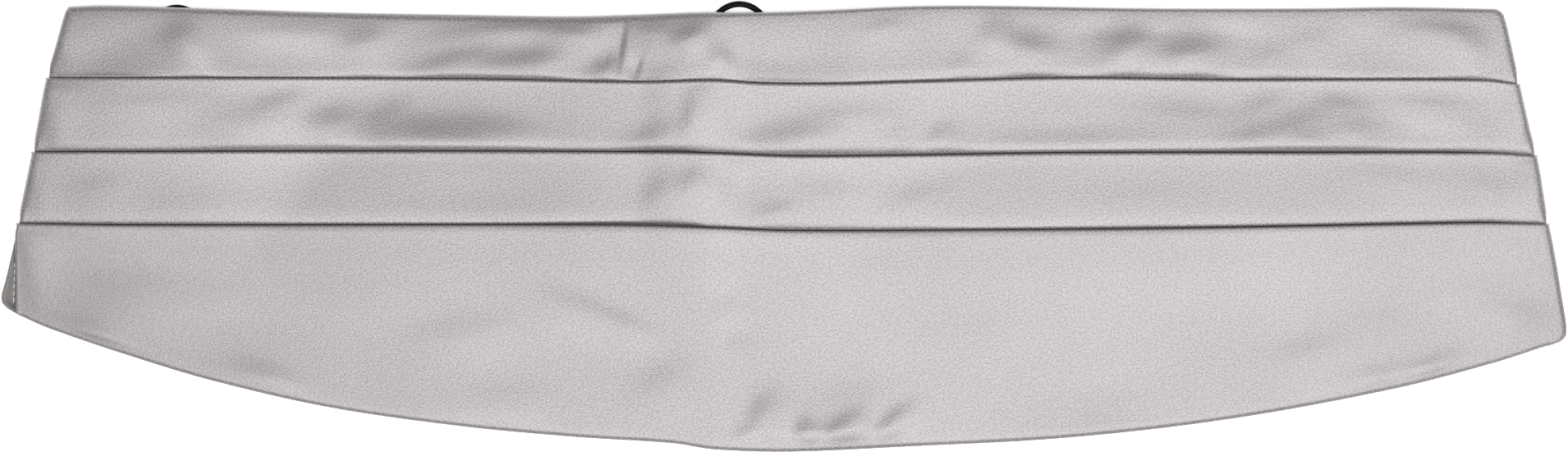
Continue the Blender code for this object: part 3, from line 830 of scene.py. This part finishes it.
# %% Making a sheet of cloth
def cloth_grid(rows, columns, point_at):
    """Grid of cloth with its vertices placed by point_at and a UV map in metres of flat cloth."""
    shape = bmesh.new()
    bmesh.ops.create_grid(shape, x_segments=columns - 1, y_segments=rows - 1, size=1.0)
    places = {}
    flat = shape.loops.layers.uv.new("cloth")
    for vertex in shape.verts:
        column = round((vertex.co.x + 1) / 2 * (columns - 1))
        row = round((1 - vertex.co.y) / 2 * (rows - 1))
        places[vertex] = (row, column)
    grid = [[None] * columns for _ in range(rows)]
    for vertex, (row, column) in places.items():
        grid[row][column] = point_at(row, column)
        vertex.co = grid[row][column] * MM
    middle = columns // 2
    down = [0.0]
    for row in range(1, rows):
        down.append(down[-1] + (grid[row][middle] - grid[row - 1][middle]).length)
    for face in shape.faces:
        for loop in face.loops:
            row, column = places[loop.vert]
            loop[flat].uv = (grid[row][column].x * MM, -down[row] * MM)
    return shape


def thicken(piece, wall, offset=0.0):
    """Gives an open sheet its wall."""
    solidify = piece.modifiers.new("wall", "SOLIDIFY")
    solidify.thickness = wall * MM
    solidify.offset = offset
    solidify.use_even_offset = True


# %% [markdown]
# ## The front
#
# Now each crossing of a row and a station gets its place. The cloth rolls down to the side seams,
# tightly beside the facing, and each band's lower corner draws in a little. Height comes from the
# section, the humps and the folds, and the folds fade out where the cloth bends away.

# %% The front of the cummerbund
END_ROLL = 1.7
FACING_ROLL = 0.5
DRAWN_IN = 0.9
FOLDS_FADE_IN = 0.12
FOLDS_FADE_OUT = 0.06


def front_point(row_index, column):
    """Place of one crossing on the front, in millimetres."""
    row = FRONT_ROWS[row_index]
    left, right = front_ends[row_index]
    station = FRONT_STATIONS[column]
    pulled_in = DRAWN_IN * ease((row.share - 0.75) / 0.25) if row.line < PLEATS else 0.0
    near, far = left + row.inset + pulled_in, right - row.inset - pulled_in
    x = near + (far - near) * station.share + station.offset
    y = row_y(row, x)
    from_end = min(x - left, right - x)
    over_facing = x < 0 and y < FACING_TOP
    rolled = quarter_round(from_end / (FACING_ROLL if over_facing else END_ROLL))
    height = SEAM_HEIGHT + (row.height * slope_room(x, y) - SEAM_HEIGHT) * rolled
    if row.line:
        shown = ease(row.share / FOLDS_FADE_IN) * ease((1 - row.share) / FOLDS_FADE_OUT)
    else:
        over_edge = (row.height - SEAM_HEIGHT) / (TOP_BAND_RISE(0.0) - SEAM_HEIGHT)
        shown = min(over_edge, 1.0) * ease((1 - row.share) / FOLDS_FADE_OUT)
    soft = relief(BANDS[row.line], x, y) * rolled * shown if shown else 0.0
    return Vector((x, y, height + lift(x, y) + soft))


front_shape = cloth_grid(len(FRONT_ROWS), len(FRONT_STATIONS), front_point)
front_cloth = new_piece("front_cloth", front_shape, front_satin, ["front_panel"])
thicken(front_cloth, SHELL)

# %% [markdown]
# ## The plain back
#
# The back is cut a little smaller than the front, so that the satin rolls over its edge. At the
# lower left it reaches further out than the front and shows as a narrow grey facing. It could be
# one face cut to the outline, but it has to bend over the strap with the front. So it is a grid on
# the same lines and heights, and only its rim curls up to meet the front.

# %% The back and its facing
BACK_SHELL = 0.6
BACK_INSET = 0.6
RIM_REACH = 3.0
RIM_RISE = 0.42
FACING_RISE = 0.9
BACK_ROW_COUNTS = (14, 12, 10, 16)
BACK_STEP = 3.5

BACK_ROWS = [Row(0, 0.0, -BACK_INSET, 0.0, 0.0, 0.0)]
for line, count in enumerate(BACK_ROW_COUNTS):
    for share in spread_rows(count):
        BACK_ROWS.append(Row(line, share, -BACK_INSET, BACK_INSET, 0.0, 0.0))
BACK_ROWS.append(Row(PLEATS + 1, 0.0, BACK_INSET, 0.0, 0.0, 0.0))
BACK_STATIONS = stations([(-265.0, 265.0, BACK_STEP)])
back_ends = [row_ends(row, True) for row in BACK_ROWS]


def back_point(row_index, column):
    """Place of one crossing on the back, in millimetres."""
    row = BACK_ROWS[row_index]
    left, right = back_ends[row_index]
    low_left = row_y(row, left) < FACING_TOP
    left += 0.0 if low_left else BACK_INSET
    right -= BACK_INSET
    station = BACK_STATIONS[column]
    x = left + (right - left) * station.share + station.offset
    y = row_y(row, x)
    from_rim = min(line_at[0](x) - y, y - line_at[-1](x), right - x, x - left)
    rise = FACING_RISE if low_left and x < FRONT_LOWER_LEFT else RIM_RISE
    curl = rise * (1 - ease(max(from_rim - BACK_INSET, 0.0) / RIM_REACH))
    return Vector((x, y, lift(x, y) + curl))


back_shape = cloth_grid(len(BACK_ROWS), len(BACK_STATIONS), back_point)
back_cloth = new_piece("back_cloth", back_shape, back_satin, ["back_panel"])
thicken(back_cloth, BACK_SHELL, 1.0)

# %% [markdown]
# ## Cut sizes
#
# Each sheet's cut size is worked out and printed. The front's cut is as long as the band and as
# deep as its section laid out flat, pleats and all. Both are measured on the rows themselves, so
# they stay true if a line is moved.

def flat_size(placed, ends, columns):
    """Length and depth of the cut, in metres. The depth follows the middle column's section."""
    length = max(right - left for left, right in ends)
    middle = [placed(index, columns // 2) for index in range(len(ends))]
    depth = sum((b - a).length for a, b in zip(middle, middle[1:]))
    return length * MM, depth * MM


def sheet_area(piece):
    """Area of an open sheet, in square metres, before it gets its wall."""
    return sum(face.area for face in piece.data.polygons)


front_length, front_depth = flat_size(front_point, front_ends, len(FRONT_STATIONS))
back_length, back_depth = flat_size(back_point, back_ends, len(BACK_STATIONS))
sheet_area(front_cloth)
sheet_area(back_cloth)
print("front cut", round(front_length, 3), "x", round(front_depth, 3), "m")
print("back cut", round(back_length, 3), "x", round(back_depth, 3), "m")

# %% [markdown]
# ## Black elastic
#
# The strap is woven elastic: covered rubber threads make fine ribs along its length, and picks of
# yarn cross them. Black webbing looks a little dusty, which a weak sheen gives. A picture of
# webbing would do on a flat strap. This one bends, so its ribs are in the mesh and its picks in a
# pattern on the UV map, a little coarser than real ones so that they show.

# %% Finish of the elastic
PICK = 0.8


def woven_elastic():
    """Matte black ribbed webbing with a slight dusty sheen."""
    finish, tree = new_finish("woven_elastic_black")
    laid_out = add(tree, "ShaderNodeUVMap", uv_map="cloth")
    in_mm = add(tree, "ShaderNodeMapping", {
        "Vector": laid_out.outputs["UV"], "Scale": (1000.0, 1000.0, 1.0),
    })
    picks = add(tree, "ShaderNodeTexWave", {
        "Vector": in_mm.outputs["Vector"], "Scale": 2 * math.pi / (WAVE_TURNS * PICK),
        "Distortion": 0.6, "Detail": 1.0,
    })
    fuzz = add(tree, "ShaderNodeTexNoise", {
        "Vector": in_mm.outputs["Vector"], "Scale": 2.5, "Detail": 3.0,
    })
    tone = add(tree, "ShaderNodeMath", {
        0: picks.outputs["Fac"], 1: fuzz.outputs["Fac"],
    }, operation="MULTIPLY")
    colour = add(tree, "ShaderNodeMix", {
        "Factor": tone.outputs[0], 6: linear("#121110"), 7: linear("#34312F"),
    }, data_type="RGBA")
    ribs = add(tree, "ShaderNodeBump", {
        "Height": tone.outputs[0], "Strength": 0.6, "Distance": 0.12 * MM,
    })
    shader = add(tree, "ShaderNodeBsdfPrincipled", {
        "Base Color": colour.outputs[2], "Roughness": 0.82, "Normal": ribs.outputs["Normal"],
        "Sheen Weight": 0.25, "Sheen Roughness": 0.5, "IOR": 1.5,
    })
    add(tree, "ShaderNodeOutputMaterial", {"Surface": shader.outputs["BSDF"]})
    return finish


elastic = woven_elastic()
print("elastic with a pick every", PICK, "mm")

# %% [markdown]
# ## How the strap runs
#
# The strap has two halves. The left one lies on the table under the top band, climbs over the
# slider's bar and turns back through the ring. The right one turns back through the hook's slot.
# A curve with a bevel could carry a strap, but it would twist where it turns back, so the path of
# each half is a list of stops: a place along the band, a height and a width.

# %% Heights and places of the strap and its hardware
STRAP_WIDTH = 13.0
STRAP_WALL = 0.9
STRAP_LOW = 0.5
BAR_MIDDLE = 1.8
STRAP_HIGH = 3.1
LOOP = BAR_MIDDLE - STRAP_LOW
STRAP_START = 246.0
STOP_EVERY = 3.0
RING_RADIUS = 10.9
STOCK = 2.1
SLIDER_AT = (-208.5, 66.0)
SLIDER_RADIUS = 10.0
HOOK_SLOT = (5.0, 8.5)
HOOK_END = 11.0
print("ring", 2 * RING_RADIUS, "mm wide, slider", 2 * SLIDER_RADIUS, "mm wide")

# %% Loop and tail of a strap
Stop = namedtuple("Stop", "x height width")
TAIL_FALL = (
    (0.0, 0.0), (2.0, 0.25), (3.5, 0.6), (5.0, 0.95), (7.0, 1.2), (9.0, 1.3), (15.0, 1.3),
    (21.0, 1.3),
)


def strap_loop(turn_x, clear_x, towards):
    """Elastic turned up round a bar and laid back on itself."""
    path = []
    for degrees in range(-90, 91, 15):
        angle = math.radians(degrees)
        turned_x = turn_x + towards * LOOP * math.cos(angle)
        path.append(Stop(turned_x, BAR_MIDDLE + LOOP * math.sin(angle), STRAP_WIDTH))
    for along, lower in TAIL_FALL:
        path.append(Stop(clear_x - towards * along, STRAP_HIGH - lower, STRAP_WIDTH))
    return path


print("tail of a strap is", TAIL_FALL[-1][0], "mm long")

# %% Paths of the strap's two halves
OVER_BAR = (
    (-4.7, 0.5), (-3.0, 1.7), (-1.5, 2.95), (0.0, 3.1), (1.5, 2.95), (3.0, 1.7), (4.7, 0.5),
)


def flat_stops(start, end):
    """Strap that lies on the table."""
    return [Stop(x, STRAP_LOW, STRAP_WIDTH) for x in even_run(start, end, STOP_EVERY)]


def left_strap_path():
    """From the left seam, over the slider's bar, and back through the ring."""
    path = flat_stops(-STRAP_START, SLIDER_AT[0] - 4.9)
    path += [Stop(SLIDER_AT[0] + away, height, STRAP_WIDTH) for away, height in OVER_BAR]
    ring_left = RING_AT[0] - RING_RADIUS
    path += flat_stops(SLIDER_AT[0] + 6.0, ring_left + 5.0)
    return path + strap_loop(ring_left + 5.9, ring_left - 1.0, 1)


def right_strap_path():
    """From the right seam, and back through the hook's slot."""
    path = flat_stops(STRAP_START, HOOK_SLOT[1])
    return path + strap_loop(HOOK_SLOT[1] - 0.5, HOOK_END + 1.0, -1)


left_path, right_path = left_strap_path(), right_strap_path()
print(len(left_path), "stops on the left and", len(right_path), "on the right")

# %% The elastic straps, with their ribs in the mesh
RIB = 1.3
RIB_DEPTH = 0.07
STRAP_COLUMNS = 41


def strap_shape(path):
    """Ribbed strip along a path. Its rows run across the strap."""
    def point_at(row, column):
        stop = path[column]
        across = 1 - 2 * row / (STRAP_COLUMNS - 1)
        rib = RIB_DEPTH * math.cos(2 * math.pi * across * stop.width / 2 / RIB)
        return Vector((
            stop.x, strap_middle_at(stop.x) + across * stop.width / 2, stop.height + rib,
        ))

    return cloth_grid(STRAP_COLUMNS, len(path), point_at)


def lay_strap(name, path, node):
    """One half of the strap, with its wall. Prints the length of its path."""
    piece = new_piece(name, strap_shape(path), elastic, [node])
    thicken(piece, STRAP_WALL)
    length = sum(
        math.dist((a.x, a.height), (b.x, b.height)) for a, b in zip(path, path[1:])
    )
    print(name, round(length), "mm long")


lay_strap("elastic_left", left_path, "strap_left")
lay_strap("elastic_right", right_path, "strap_right")

# %% [markdown]
# ## Coated hardware
#
# The ring, the slider and the hook are small zinc castings with a baked black coat. The coat is
# matte because it is full of grit about 0.25 mm apart, and handling polishes it in patches of a
# few millimetres. The specular level is kept low, since such paint reflects little.

# %% Finish of the hardware
GRIT = 0.25
HANDLED_PATCH = 4.0


def black_coat():
    """Matte black baked paint: near black, gritty, with handled patches a little smoother."""
    finish, tree = new_finish("baked_paint_black")
    place = add(tree, "ShaderNodeTexCoord")
    grit = add(tree, "ShaderNodeTexNoise", {
        "Vector": place.outputs["Object"], "Scale": 1 / (GRIT * MM), "Detail": 2.0,
    })
    handled = add(tree, "ShaderNodeTexNoise", {
        "Vector": place.outputs["Object"], "Scale": 1 / (HANDLED_PATCH * MM), "Detail": 2.0,
    })
    colour = add(tree, "ShaderNodeMix", {
        "Factor": handled.outputs["Fac"], 6: linear("#090807"), 7: linear("#12100F"),
    }, data_type="RGBA")
    gloss = add(tree, "ShaderNodeMapRange", {
        "Value": handled.outputs["Fac"], "To Min": 0.62, "To Max": 0.46,
    })
    pitted = add(tree, "ShaderNodeBump", {
        "Height": grit.outputs["Fac"], "Strength": 0.25, "Distance": 0.05 * MM,
    })
    shader = add(tree, "ShaderNodeBsdfPrincipled", {
        "Base Color": colour.outputs[2], "Roughness": gloss.outputs["Result"],
        "Normal": pitted.outputs["Normal"], "IOR": 1.5, "Specular IOR Level": 0.05,
    })
    add(tree, "ShaderNodeOutputMaterial", {"Surface": shader.outputs["BSDF"]})
    return finish


coat = black_coat()
print("grit of", GRIT, "mm in the coat")

# %% [markdown]
# ## Ring and slider
#
# Both are rings of thick wire, pressed flat as such fittings are. A torus would do, but a circle
# spun round the middle shows how any round fitting is made. The slider has a bar across it, a
# flattened rod, and the elastic runs over that.

# %% Spinning a ring
HARDWARE = 1.0


def spun_ring(radius, at):
    """Flattened ring: a circle spun once round its own middle."""
    shape = bmesh.new()
    bmesh.ops.create_circle(shape, segments=20, radius=STOCK / 2 * MM)
    bmesh.ops.rotate(shape, verts=shape.verts, matrix=Matrix.Rotation(math.pi / 2, 3, "X"))
    bmesh.ops.translate(shape, verts=shape.verts, vec=((radius - STOCK / 2) * MM, 0.0, 0.0))
    bmesh.ops.spin(
        shape, geom=shape.verts[:] + shape.edges[:], cent=(0.0, 0.0, 0.0), axis=(0.0, 0.0, 1.0),
        angle=2 * math.pi, steps=96, use_merge=True,
    )
    bmesh.ops.scale(shape, verts=shape.verts, vec=(1.0, 1.0, HARDWARE / STOCK))
    bmesh.ops.translate(shape, verts=shape.verts, vec=Vector((*at, BAR_MIDDLE)) * MM)
    bmesh.ops.remove_doubles(shape, verts=shape.verts, dist=1e-6)
    bmesh.ops.recalc_face_normals(shape, faces=shape.faces)
    return shape


ring_shape = spun_ring(RING_RADIUS, RING_AT)
new_piece("metal_ring", ring_shape, coat, ["ring"])
frame_shape = spun_ring(SLIDER_RADIUS, SLIDER_AT)
new_piece("slider_frame", frame_shape, coat, ["slider"])

# %% The slider's bar
BAR_RADIUS = 0.8
BAR_FLATNESS = 0.5
BAR_INTO_FRAME = 0.6

bar_shape = bmesh.new()
bmesh.ops.create_cone(
    bar_shape, cap_ends=True, segments=20, radius1=BAR_RADIUS * MM, radius2=BAR_RADIUS * MM,
    depth=2 * (SLIDER_RADIUS - STOCK * BAR_INTO_FRAME) * MM,
    matrix=Matrix.Rotation(math.pi / 2, 4, "X"),
)
bmesh.ops.scale(bar_shape, verts=bar_shape.verts, vec=(1.0, 1.0, BAR_FLATNESS))
bmesh.ops.translate(bar_shape, verts=bar_shape.verts, vec=Vector((*SLIDER_AT, BAR_MIDDLE)) * MM)
new_piece("slider_bar", bar_shape, coat)

# %% [markdown]
# ## The hook
#
# The hook is a flat plate with a slot for the elastic. Its front end narrows, runs over the ring
# and bends back under it as a lip. A bent plate is a strip along a path, like the strap, and it
# gets its wall and a soft edge by modifiers. The faces over the slot are simply taken out.

# %% Path of the hook
HOOK_TURN_X = RING_AT[0] + RING_RADIUS - 3.3
HOOK_WIDTH = 6.0
HOOK_PLATE = 16.4
# Where the hook widens from its neck to its plate, and its height and width there
HOOK_NECK = (
    (-2.0, 2.75, 7.0), (-0.8, 2.2, 8.6), (0.4, 1.87, 11.5), (1.4, BAR_MIDDLE, 14.8),
    (2.4, BAR_MIDDLE, 16.8),
)
# Places along the plate, and how much it draws in there towards its rounded end
HOOK_PLATE_STOPS = (
    (3.4, 0.0), (HOOK_SLOT[0], 0.0), (HOOK_SLOT[1], 0.0), (HOOK_END - 0.9, 0.0),
    (HOOK_END - 0.3, 0.8), (HOOK_END, 2.2),
)


def hook_path():
    """Lip under the ring, turn inside it, and down to the plate that holds the elastic."""
    path = [Stop(HOOK_TURN_X + along, STRAP_LOW, HOOK_WIDTH) for along in (5.0, 3.0, 1.5)]
    for degrees in range(-90, -271, -15):
        angle = math.radians(degrees)
        turned_x = HOOK_TURN_X + LOOP * math.cos(angle)
        path.append(Stop(turned_x, BAR_MIDDLE + LOOP * math.sin(angle), HOOK_WIDTH))
    path.append(Stop(RING_AT[0] + RING_RADIUS + 0.8, STRAP_HIGH, HOOK_WIDTH))
    path += [Stop(*row) for row in HOOK_NECK]
    return path + [Stop(x, BAR_MIDDLE, HOOK_PLATE - less) for x, less in HOOK_PLATE_STOPS]


print("hook is", round(HOOK_END - HOOK_TURN_X + LOOP, 1), "mm long")

# %% The hook
SLOT_HALF = (STRAP_WIDTH + 1.2) / 2
RIM_WIDTH = 1.1
SLOT_MIDDLE = 6.7
PLATE_ABOVE = 1.5


def hook_shape(path):
    """Strip of four rows across. The faces over the slot are taken out."""
    def point_at(row, column):
        stop = path[column]
        inner = min(SLOT_HALF, stop.width / 2 - RIM_WIDTH)
        across = (stop.width / 2, inner, -inner, -stop.width / 2)[row]
        return Vector((stop.x, strap_middle_at(stop.x) + across, stop.height))

    shape = cloth_grid(4, len(path), point_at)
    over_slot = []
    for face in shape.faces:
        x, y, z = face.calc_center_median() / MM
        in_slot = HOOK_SLOT[0] < x < HOOK_SLOT[1] and abs(y - strap_middle_at(SLOT_MIDDLE)) < 1.0
        if in_slot and z > PLATE_ABOVE:
            over_slot.append(face)
    bmesh.ops.delete(shape, geom=over_slot, context="FACES")
    return shape


hook_piece = new_piece("hook_plate", hook_shape(hook_path()), coat, ["hook"])
thicken(hook_piece, HARDWARE)
soft_edge = hook_piece.modifiers.new("soft_edge", "BEVEL")
soft_edge.width = 0.2 * MM
soft_edge.segments = 2
soft_edge.limit_method = "ANGLE"
print("slot", round(2 * SLOT_HALF, 1), "x", HOOK_SLOT[1] - HOOK_SLOT[0], "mm")

# %% [markdown]
# ## Stitches
#
# The satin is bagged out, so no stitch shows on its front. A row of small stitches holds the
# facing at the lower left, and two rows hold each end of the elastic. Spun polyester thread is
# plain and a little glossy. Each stitch is a small stretched ball, which costs few faces, and
# each row of them is one mesh.

# %% Finish of the thread
TWIST = 0.4
# The lighter strands of the twist are a painted highlight, LIT_SIDE times as bright as the thread.
LIT_SIDE = 1.35


def thread(name, hex_code):
    """Spun polyester thread. Its twist is drawn about as coarse as the thread is thick, with its
    lit strands as painted highlights.
    """
    finish, tree = new_finish(name)
    place = add(tree, "ShaderNodeTexCoord")
    twist = add(tree, "ShaderNodeTexNoise", {
        "Vector": place.outputs["Object"], "Scale": 1 / (TWIST * MM),
    })
    light = tuple(min(part * LIT_SIDE, 1.0) for part in linear(hex_code)[:3])
    colour = add(tree, "ShaderNodeMix", {
        "Factor": twist.outputs["Fac"], 6: linear(hex_code), 7: (*light, 1.0),
    }, data_type="RGBA")
    shader = add(tree, "ShaderNodeBsdfPrincipled", {
        "Base Color": colour.outputs[2], "Roughness": 0.5, "Sheen Weight": 0.2, "IOR": 1.5,
    })
    add(tree, "ShaderNodeOutputMaterial", {"Surface": shader.outputs["BSDF"]})
    return finish


grey_thread = thread("polyester_thread_grey", "#D2CECB")
black_thread = thread("polyester_thread_black", "#1C1A19")
print("threads:", grey_thread.name, black_thread.name)

# %% A row of stitches
THREAD = 0.32


def stitch_row(name, points, finish, length):
    """One mesh of stitches, each lying along the way to the next point."""
    shape = bmesh.new()
    for here, ahead in zip(points, points[1:]):
        way = (ahead - here).normalized()
        turn = way.to_track_quat("X", "Z").to_matrix().to_4x4()
        size = Matrix.Diagonal((length / 2, THREAD / 2, THREAD / 2, 1.0))
        place = Matrix.Translation((here + ahead) / 2)
        whole = Matrix.Scale(MM, 4) @ place @ turn @ size
        bmesh.ops.create_uvsphere(shape, u_segments=8, v_segments=6, radius=1.0, matrix=whole)
    new_piece(name, shape, finish)


# %% Stitches along the facing
FACING_SEAM_TOP = -5.0
FACING_SEAM_BOTTOM = -29.0
FACING_STITCH = 2.2
FACING_STITCH_EVERY = 2.5
FACING_HEIGHT = 1.15
FACING_SLANT = 0.025

facing_seam = []
for y in even_run(FACING_SEAM_TOP, FACING_SEAM_BOTTOM, FACING_STITCH_EVERY):
    facing_seam.append(Vector((FRONT_LOWER_LEFT - 0.2 + FACING_SLANT * y, y, FACING_HEIGHT)))
stitch_row("facing_stitches", facing_seam, grey_thread, FACING_STITCH)

# %% Two rows of stitches at each end of the elastic
TACK_HEIGHT = STRAP_LOW - STRAP_WALL / 2 - 0.05
TACK_FROM_END = (1.5, 4.5)
TACK_STITCH = 1.3
TACK_STITCH_EVERY = 1.7

tacks = []
for end, inward in ((-STRAP_START, 1), (STRAP_START, -1)):
    for along in TACK_FROM_END:
        x = end + inward * along
        row = []
        for across in even_run(-5.4, 6.4, TACK_STITCH_EVERY):
            row.append(Vector((x, strap_middle_at(x) + across, TACK_HEIGHT)))
        tacks.append(row)
for index, row in enumerate(tacks):
    stitch_row(f"strap_tack_{index}", row, black_thread, TACK_STITCH)
